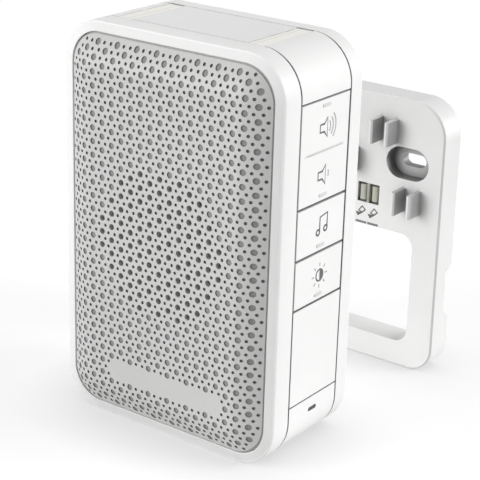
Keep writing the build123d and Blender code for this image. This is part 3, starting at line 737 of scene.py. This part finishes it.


# Shallow lip round the plate, seen as the floor of the groove in the rim, darker than the grille as
# painted shade of the groove
def makeLip(look):
    inset = bezelLook["rimWidth"]
    width = (bezelHigh.x - bezelLow.x) / mm - 2 * inset
    height = (bezelHigh.z - bezelLow.z) / mm - 2 * inset
    corner = look["corner"] + look["gap"]
    top = look["lipDrop"]
    low = top + look["lipThick"]
    mesh = bmesh.new()
    profile = []
    for reach, depth in ((look["lipOut"], top), (look["lipIn"], top),
                         (look["lipIn"], low), (look["lipOut"], low)):
        profile.append(roundedLoop(mesh, (width - 2 * reach) * mm, (height - 2 * reach) * mm,
                                   (corner - reach) * mm, rimFront + depth * mm, look["lipSteps"],
                                   (0.0, middleZ)))
    bridgeAll(mesh, profile)
    bmesh.ops.recalc_face_normals(mesh, faces=mesh.faces[:])
    addPiece("grille_lip", mesh, "chime", "grille_grey", lipShadeGrey)


makeGrille(grilleLook)
makeLip(grilleLook)
print("stage: grille")


# Fine darker cream line along each light strip, a little in from its inner edge
stripLook = {"inset": 1.7, "width": 0.34, "proud": 0.02, "deep": 0.06, "endGap": 0.6}


def makeStripLines(look):
    for side, sign in (("left", -1), ("right", 1)):
        low, high = nodeBox("light_strip_" + side)
        inner = low.x if sign > 0 else high.x
        middle = inner + sign * look["inset"] * mm
        half = look["width"] * mm / 2
        mesh = boxMesh(Vector((middle - half, low.y + look["endGap"] * mm, high.z - look["deep"] * mm)),
                       Vector((middle + half, high.y - look["endGap"] * mm, high.z + look["proud"] * mm)))
        addPiece("strip_line_" + side, mesh, "chime", "strip_cream", stripLineCream)


makeStripLines(stripLook)
print("stage: light strips")


# Printed marks: thin lines along a path, flattened against the side of the keys or the bracket's front
strokeFlat = 0.12


def strokePiece(name, paths, width, body, slot, material, plane, level):
    onSide = plane == "side"
    curve = bpy.data.curves.new(name + "_path", "CURVE")
    curve.dimensions = "3D"
    curve.bevel_depth = width * mm / 2
    curve.bevel_resolution = 1
    curve.use_fill_caps = True
    for path, closed in paths:
        spline = curve.splines.new("POLY")
        spline.points.add(len(path) - 1)
        spline.use_cyclic_u = closed
        for point, (across, up) in zip(spline.points, path):
            point.co = (0, across * mm, up * mm, 1) if onSide else (across * mm, 0, up * mm, 1)
    holder = bpy.data.objects.new(name + "_path", curve)
    scene.collection.objects.link(holder)
    drawn = bpy.data.meshes.new_from_object(holder)
    bpy.data.objects.remove(holder)
    mesh = bmesh.new()
    mesh.from_mesh(drawn)
    scale = (strokeFlat, 1, 1) if onSide else (1, strokeFlat, 1)
    bmesh.ops.scale(mesh, vec=scale, verts=mesh.verts[:])
    shift = (level, 0, 0) if onSide else (0, level, 0)
    bmesh.ops.translate(mesh, verts=mesh.verts[:], vec=shift)
    bmesh.ops.recalc_face_normals(mesh, faces=mesh.faces[:])
    addPiece(name, mesh, body, slot, material)


def arcPath(centre, radius, start, end, steps=14):
    path = []
    for step in range(steps + 1):
        angle = math.radians(start + (end - start) * step / steps)
        path.append((centre[0] + radius * math.cos(angle), centre[1] + radius * math.sin(angle)))
    return path


# Speaker icons on the volume key: three waves at the upper one, a single wave at the lower
iconLook = {
    "middle": 1.15,
    "lineWidth": 0.78,
    "waveWidth": 0.62,
    "loudDrop": 8.75,
    "quietRise": 8.1,
    "boxBack": 3.0,
    "boxDepth": 2.2,
    "boxHalf": 1.2,
    "hornDepth": 1.6,
    "hornHalf": 3.0,
    "waveBack": -0.1,
    "loudWaves": ((2.5, 38), (3.9, 42), (5.3, 43)),
    "quietWaves": ((2.5, 24),),
}


def speakerOutline(look, up):
    back = look["middle"] - look["boxBack"]
    neck = back + look["boxDepth"]
    front = neck + look["hornDepth"]
    return [(back, up - look["boxHalf"]), (neck, up - look["boxHalf"]), (front, up - look["hornHalf"]),
            (front, up + look["hornHalf"]), (neck, up + look["boxHalf"]), (back, up + look["boxHalf"])]


def makeSpeakerIcons(look):
    top = rockerHigh.z / mm
    low = rockerLow.z / mm
    for name, up, waves in (("loud", top - look["loudDrop"], look["loudWaves"]),
                            ("quiet", low + look["quietRise"], look["quietWaves"])):
        strokePiece(name + "_icon", [(speakerOutline(look, up), True)], look["lineWidth"],
                    "volume_rocker", "shell_white", inkGrey, "side", sideX)
        paths = []
        for radius, spread in waves:
            paths.append((arcPath((look["middle"] + look["waveBack"], up), radius, -spread, spread), False))
        strokePiece(name + "_waves", paths, look["waveWidth"], "volume_rocker", "shell_white",
                    inkPale, "side", sideX)


# Note icon on the melody button
noteLook = {
    "leftStem": 0.35,
    "rightStem": 4.25,
    "stemLow": 6.15,
    "rightLift": 0.55,
    "stemHeight": 4.7,
    "beamLift": 0.7,
    "headRadius": 0.85,
    "headSteps": 20,
    "lineWidth": 0.78,
}


def makeNoteIcon(look):
    low = melodyLow.z / mm + look["stemLow"]
    left = look["leftStem"]
    right = look["rightStem"]
    top = low + look["stemHeight"]
    beam = [(left, low), (left, top), (right, top + look["beamLift"]), (right, low + look["rightLift"])]
    paths = [(beam, False)]
    radius = look["headRadius"]
    for stem, up in ((left, low), (right, low + look["rightLift"])):
        paths.append((arcPath((stem - radius, up), radius, 0, 360, look["headSteps"])[:-1], True))
    strokePiece("note_icon", paths, look["lineWidth"], "melody_button", "shell_white", inkGrey, "side", sideX)


# Sun icon on the light button: a ring with rays, its far half filled
sunLook = {
    "middle": 1.45,
    "rise": 7.95,
    "radius": 1.85,
    "rays": 8,
    "rayFrom": 2.9,
    "rayTo": 4.1,
    "lineWidth": 0.66,
    "rayWidth": 0.56,
    "thick": 0.04,
    "ringSteps": 28,
}


def makeSunIcon(look):
    up = lightLow.z / mm + look["rise"]
    centre = (look["middle"], up)
    ring = [(arcPath(centre, look["radius"], 0, 360, look["ringSteps"])[:-1], True)]
    strokePiece("sun_ring", ring, look["lineWidth"], "light_button", "shell_white", inkGrey, "side", sideX)
    rays = []
    for ray in range(look["rays"]):
        angle = math.radians(360 * ray / look["rays"])
        rays.append(([(centre[0] + reach * math.cos(angle), centre[1] + reach * math.sin(angle))
                      for reach in (look["rayFrom"], look["rayTo"])], False))
    strokePiece("sun_rays", rays, look["rayWidth"], "light_button", "shell_white", inkPale, "side", sideX)
    mesh = bmesh.new()
    facing = Matrix.Rotation(math.radians(90), 4, "Y")
    place = Vector((sideX + look["thick"] * mm / 2, centre[0] * mm, centre[1] * mm))
    bmesh.ops.create_cone(mesh, cap_ends=True, segments=look["ringSteps"], radius1=look["radius"] * mm,
                          radius2=look["radius"] * mm, depth=look["thick"] * mm,
                          matrix=Matrix.Translation(place) @ facing)
    everything = mesh.verts[:] + mesh.edges[:] + mesh.faces[:]
    cut = bmesh.ops.bisect_plane(mesh, geom=everything, plane_co=place, plane_no=(0, -1, 0), clear_outer=True)
    rim = [item for item in cut["geom_cut"] if isinstance(item, bmesh.types.BMEdge)]
    bmesh.ops.holes_fill(mesh, edges=rim)
    bmesh.ops.recalc_face_normals(mesh, faces=mesh.faces[:])
    addPiece("sun_half", mesh, "light_button", "shell_white", inkGrey)


# Small raised pills that a fingertip finds, one by each seam, pale grey as painted shade of their relief
pillLook = {"middle": 1.1, "length": 4.3, "height": 1.15, "endSteps": 6, "weld": 0.001, "lift": 0.22,
            "soft": 0.12, "softSteps": 2, "sunk": 0.01, "offset": 1.9}


def makePill(name, look, up, body):
    mesh = bmesh.new()
    radius = look["height"] / 2
    roundedFace(mesh, look["length"] * mm, look["height"] * mm, radius * mm, 0.0, look["endSteps"])
    bmesh.ops.remove_doubles(mesh, verts=mesh.verts[:], dist=look["weld"] * mm)
    grown = bmesh.ops.extrude_face_region(mesh, geom=mesh.faces[:])["geom"]
    raised = [item for item in grown if isinstance(item, bmesh.types.BMVert)]
    bmesh.ops.translate(mesh, verts=raised, vec=(0, -look["lift"] * mm, 0))
    top = [item for item in grown if isinstance(item, bmesh.types.BMFace)
           and abs(item.normal.y) > facingLimit]
    rim = [edge for face in top for edge in face.edges]
    bmesh.ops.bevel(mesh, geom=rim, offset=look["soft"] * mm, offset_type="OFFSET",
                    segments=look["softSteps"], profile=0.5, affect="EDGES", material=-1)
    turn = Matrix.Rotation(math.radians(90), 3, "Z")
    bmesh.ops.rotate(mesh, verts=mesh.verts[:], cent=(0, 0, 0), matrix=turn)
    place = (sideX - look["sunk"] * mm, look["middle"] * mm, up)
    bmesh.ops.translate(mesh, verts=mesh.verts[:], vec=place)
    bmesh.ops.recalc_face_normals(mesh, faces=mesh.faces[:])
    addPiece(name, mesh, body, "shell_white", pillShadeGrey)


# Soft floor in the groove between the two halves of the volume key, pale grey as painted shade of
# the groove
dividerLook = {"length": 18.4, "height": 0.56, "floor": 0.34, "top": 0.13, "soft": 0.08, "softSteps": 2}


def makeDivider(look):
    middle = (rockerLow.z + rockerHigh.z) / 2
    half = Vector((0.0, look["length"] / 2 * mm, look["height"] / 2 * mm))
    centre = Vector((sideX, bandMid, middle))
    mesh = boxMesh(centre - half - Vector((look["floor"] * mm, 0.0, 0.0)),
                   centre + half - Vector((look["top"] * mm, 0.0, 0.0)))
    softenEdges(mesh, mesh.edges[:], look["soft"], look["softSteps"])
    addPiece("volume_divider", mesh, "volume_rocker", "shell_white", dividerShadeGrey)


makeDivider(dividerLook)
makeSpeakerIcons(iconLook)
makeNoteIcon(noteLook)
makeSunIcon(sunLook)
for name, up, body in (
    ("pill_loud", rockerHigh.z - pillLook["offset"] * mm, "volume_rocker"),
    ("pill_quiet", rockerLow.z + pillLook["offset"] * mm, "volume_rocker"),
    ("pill_melody", melodyLow.z + pillLook["offset"] * mm, "melody_button"),
    ("pill_light", lightLow.z + pillLook["offset"] * mm, "light_button"),
):
    makePill(name, pillLook, up, body)
print("stage: key icons")


# Arrows below the wire terminals: a filled head with an outlined shaft, measured from the tip
arrowLook = {
    "tips": (4.5, 9.4),
    "up": 51.65,
    "head": ((0.0, 0.0), (2.05, 1.6), (-0.95, 1.5)),
    "shaft": ((0.25, 2.1), (1.6, 3.85), (2.95, 2.75), (1.65, 1.55)),
    "lineWidth": 0.72,
    "thick": 0.05,
    "lift": 0.02,
}


def makeArrowHead(look, name, outline):
    mesh = bmesh.new()
    level = bracketFront - look["lift"] * mm
    mesh.faces.new([mesh.verts.new((across * mm, level, up * mm)) for across, up in outline])
    grown = bmesh.ops.extrude_face_region(mesh, geom=mesh.faces[:])["geom"]
    deep = [item for item in grown if isinstance(item, bmesh.types.BMVert)]
    bmesh.ops.translate(mesh, verts=deep, vec=(0, look["thick"] * mm, 0))
    bmesh.ops.recalc_face_normals(mesh, faces=mesh.faces[:])
    addPiece(name, mesh, "bracket", "bracket_white", inkDark)


def makeArrows(look):
    centreX = (bracketLow.x + bracketHigh.x) / 2 / mm
    for side, offset in (("right", 0.0), ("left", -sum(look["tips"]))):
        for number, shift in enumerate(look["tips"], start=1):
            tipX = centreX + shift + offset
            head, shaft = ([(tipX + across, look["up"] + up) for across, up in look[part]]
                           for part in ("head", "shaft"))
            name = "arrow_%s_%d" % (side, number)
            makeArrowHead(look, name + "_head", head)
            strokePiece(name + "_shaft", [(shaft, True)], look["lineWidth"], "bracket", "bracket_white",
                        inkDark, "front", bracketFront)


makeArrows(arrowLook)
print("stage: terminal arrows")


# Wire terminals: rounded release tabs, a pale bar between each pair, dark wire entries below
terminalLook = {
    "tabFront": 0.02,
    "tabRound": 1.1,
    "tabSteps": 5,
    "barWidth": 1.04,
    "barFront": 0.24,
    "barRear": 0.5,
    "barOver": 0.78,
    "barSoft": 0.2,
    "barSteps": 3,
    "entryWidth": 4.2,
    "entryLow": 0.02,
    "entryHigh": 0.95,
    "entryBack": 0.08,
    "entryDepth": 3.0,
    "entrySoft": 0.15,
    "entrySteps": 2,
}


def makeTabCap(look, number):
    low, high = nodeBox("release_tab_%d" % number)
    mesh = boxMesh(Vector((low.x, bracketFront + look["tabFront"] * mm, low.z)), high)
    upright = [edge for edge in mesh.edges if all(vert.co.y < low.y for vert in edge.verts)
               and abs(edge.verts[0].co.x - edge.verts[1].co.x) < tiny]
    softenEdges(mesh, upright, look["tabRound"], look["tabSteps"])
    addPiece("tab_cap_%d" % number, mesh, "tab_%d" % number, "tab_cream",
             replaced=["release_tab_%d" % number])


# Each wire entry is a dark grey box that fills its opening, painted shade for the hole
def makeWireEntry(look, name, middle):
    half = look["entryWidth"] * mm / 2
    mesh = boxMesh(Vector((middle - half, bracketFront + look["entryBack"] * mm,
                           windowTop + look["entryLow"] * mm)),
                   Vector((middle + half, bracketFront + look["entryDepth"] * mm,
                           windowTop + look["entryHigh"] * mm)))
    softenEdges(mesh, mesh.edges[:], look["entrySoft"], look["entrySteps"])
    addPiece(name, mesh, "bracket", "terminal_dark", entryShade)


def makeTerminals(look):
    for number in range(1, 5):
        makeTabCap(look, number)
    for side, near, far in (("left", 1, 2), ("right", 3, 4)):
        nearLow, nearHigh = nodeBox("release_tab_%d" % near)
        farLow, farHigh = nodeBox("release_tab_%d" % far)
        middle = (nearLow.x + farHigh.x) / 2
        half = look["barWidth"] * mm / 2
        over = look["barOver"] * mm
        mesh = boxMesh(Vector((middle - half, bracketFront - look["barFront"] * mm, nearLow.z - over)),
                       Vector((middle + half, bracketFront + look["barRear"] * mm, nearHigh.z + over)))
        softenEdges(mesh, mesh.edges[:], look["barSoft"], look["barSteps"])
        addPiece("terminal_bar_" + side, mesh, "bracket", "tab_cream", barCream)
        makeWireEntry(look, "wire_entry_%s_near" % side, (nearLow.x + nearHigh.x) / 2)
        makeWireEntry(look, "wire_entry_%s_far" % side, (farLow.x + farHigh.x) / 2)


makeTerminals(terminalLook)
print("stage: terminals")


# Floor and world: white for the camera, with the object's shadow from the lamps on the floor and a
# painted contact shadow close round the object
stageLook = {
    "floorSize": 3.0,
    "floorGlow": 0.775,
    "floorSeen": 0.30,
    "floorBounce": 0.70,
    "contactReach": 26.0,
    "contactShade": 0.47,
    "contactSamples": 16,
    "ambient": 0.25,
}

# Lamps: a soft key from the front left and a soft fill from the right rear, for the case and the
# bracket apart, and one from above for the bracket
lampLook = {
    "key": {"towards": (-0.52, -0.82, 0.25), "strength": 2.60, "angle": 40.0},
    "fill": {"towards": (0.80, 0.44, 0.40), "strength": 2.6, "angle": 30.0},
    "bracket_key": {"towards": (-0.40, -0.88, 0.25), "strength": 1.9, "angle": 40.0},
    "bracket_fill": {"towards": (0.66, 0.72, 0.15), "strength": 2.9, "angle": 30.0},
    "bracket_top": {"towards": (0.0, 0.15, 1.0), "strength": 0.95, "angle": 30.0},
}


# True for what the camera sees, also in a mirror or through a clear body
def seenRay(tree):
    path = addNode(tree, "ShaderNodeLightPath").outputs
    seen = mathNode(tree, "MAXIMUM", path["Is Camera Ray"], path["Is Glossy Ray"])
    return mathNode(tree, "MAXIMUM", seen, path["Is Transmission Ray"])


def greyTone(value):
    return (value, value, value, 1.0)


def makeFloor(look):
    material = bpy.data.materials.new("floor white")
    tree = clearTree(material)
    seen = addNode(tree, "ShaderNodeBsdfDiffuse", {"Color": greyTone(look["floorSeen"])})
    bounce = addNode(tree, "ShaderNodeBsdfDiffuse", {"Color": greyTone(look["floorBounce"])})
    # Painted contact shadow: occlusion near the object dims the glow that the camera sees
    contact = addNode(tree, "ShaderNodeAmbientOcclusion", {"Distance": look["contactReach"] * mm},
                      samples=look["contactSamples"])
    shaded = mapped(tree, contact.outputs["AO"], 0.0, 1.0, look["floorGlow"] * (1 - look["contactShade"]),
                    look["floorGlow"])
    glow = addNode(tree, "ShaderNodeEmission", {"Strength": shaded})
    added = addNode(tree, "ShaderNodeAddShader", {0: seen.outputs["BSDF"], 1: glow.outputs["Emission"]})
    mixed = addNode(tree, "ShaderNodeMixShader", {0: seenRay(tree), 1: bounce.outputs["BSDF"],
                                                  2: added.outputs["Shader"]})
    addNode(tree, "ShaderNodeOutputMaterial", {"Surface": mixed.outputs["Shader"]})
    mesh = bmesh.new()
    bmesh.ops.create_grid(mesh, x_segments=1, y_segments=1, size=look["floorSize"])
    data = bpy.data.meshes.new("floor")
    mesh.to_mesh(data)
    mesh.free()
    data.materials.append(material)
    floor = bpy.data.objects.new("floor", data)
    scene.collection.objects.link(floor)


def makeWorld(look):
    world = bpy.data.worlds.new("studio")
    tree = clearTree(world)
    soft = addNode(tree, "ShaderNodeBackground", {"Color": greyTone(1.0), "Strength": look["ambient"]})
    white = addNode(tree, "ShaderNodeBackground", {"Color": greyTone(1.0), "Strength": 1.0})
    mixed = addNode(tree, "ShaderNodeMixShader", {0: seenRay(tree), 1: soft.outputs["Background"],
                                                  2: white.outputs["Background"]})
    addNode(tree, "ShaderNodeOutputWorld", {"Surface": mixed.outputs["Shader"]})
    scene.world = world


def makeSun(name, look):
    data = bpy.data.lights.new(name, "SUN")
    data.energy = look["strength"]
    data.angle = math.radians(look["angle"])
    lamp = bpy.data.objects.new(name, data)
    lamp.rotation_euler = Vector(look["towards"]).to_track_quat("Z", "Y").to_euler()
    scene.collection.objects.link(lamp)
    return lamp


# The bracket has its own lamps, because the case would stand in the light of the others
def splitLamps(lamps):
    others = bpy.data.collections.new("all but the bracket")
    bracketOnly = bpy.data.collections.new("bracket pieces")
    for piece in bracketPieces:
        others.objects.link(piece)
        bracketOnly.objects.link(piece)
    for entry in others.collection_objects:
        entry.light_linking.link_state = "EXCLUDE"
    for lamp in lamps:
        if lamp.name.startswith("bracket_"):
            lamp.light_linking.receiver_collection = bracketOnly
            lamp.light_linking.blocker_collection = bracketOnly
        else:
            lamp.light_linking.receiver_collection = others


makeFloor(stageLook)
makeWorld(stageLook)
splitLamps([makeSun(name, look) for name, look in lampLook.items()])
scene.view_settings.view_transform = "Standard"
print("stage: floor, world and lamps")
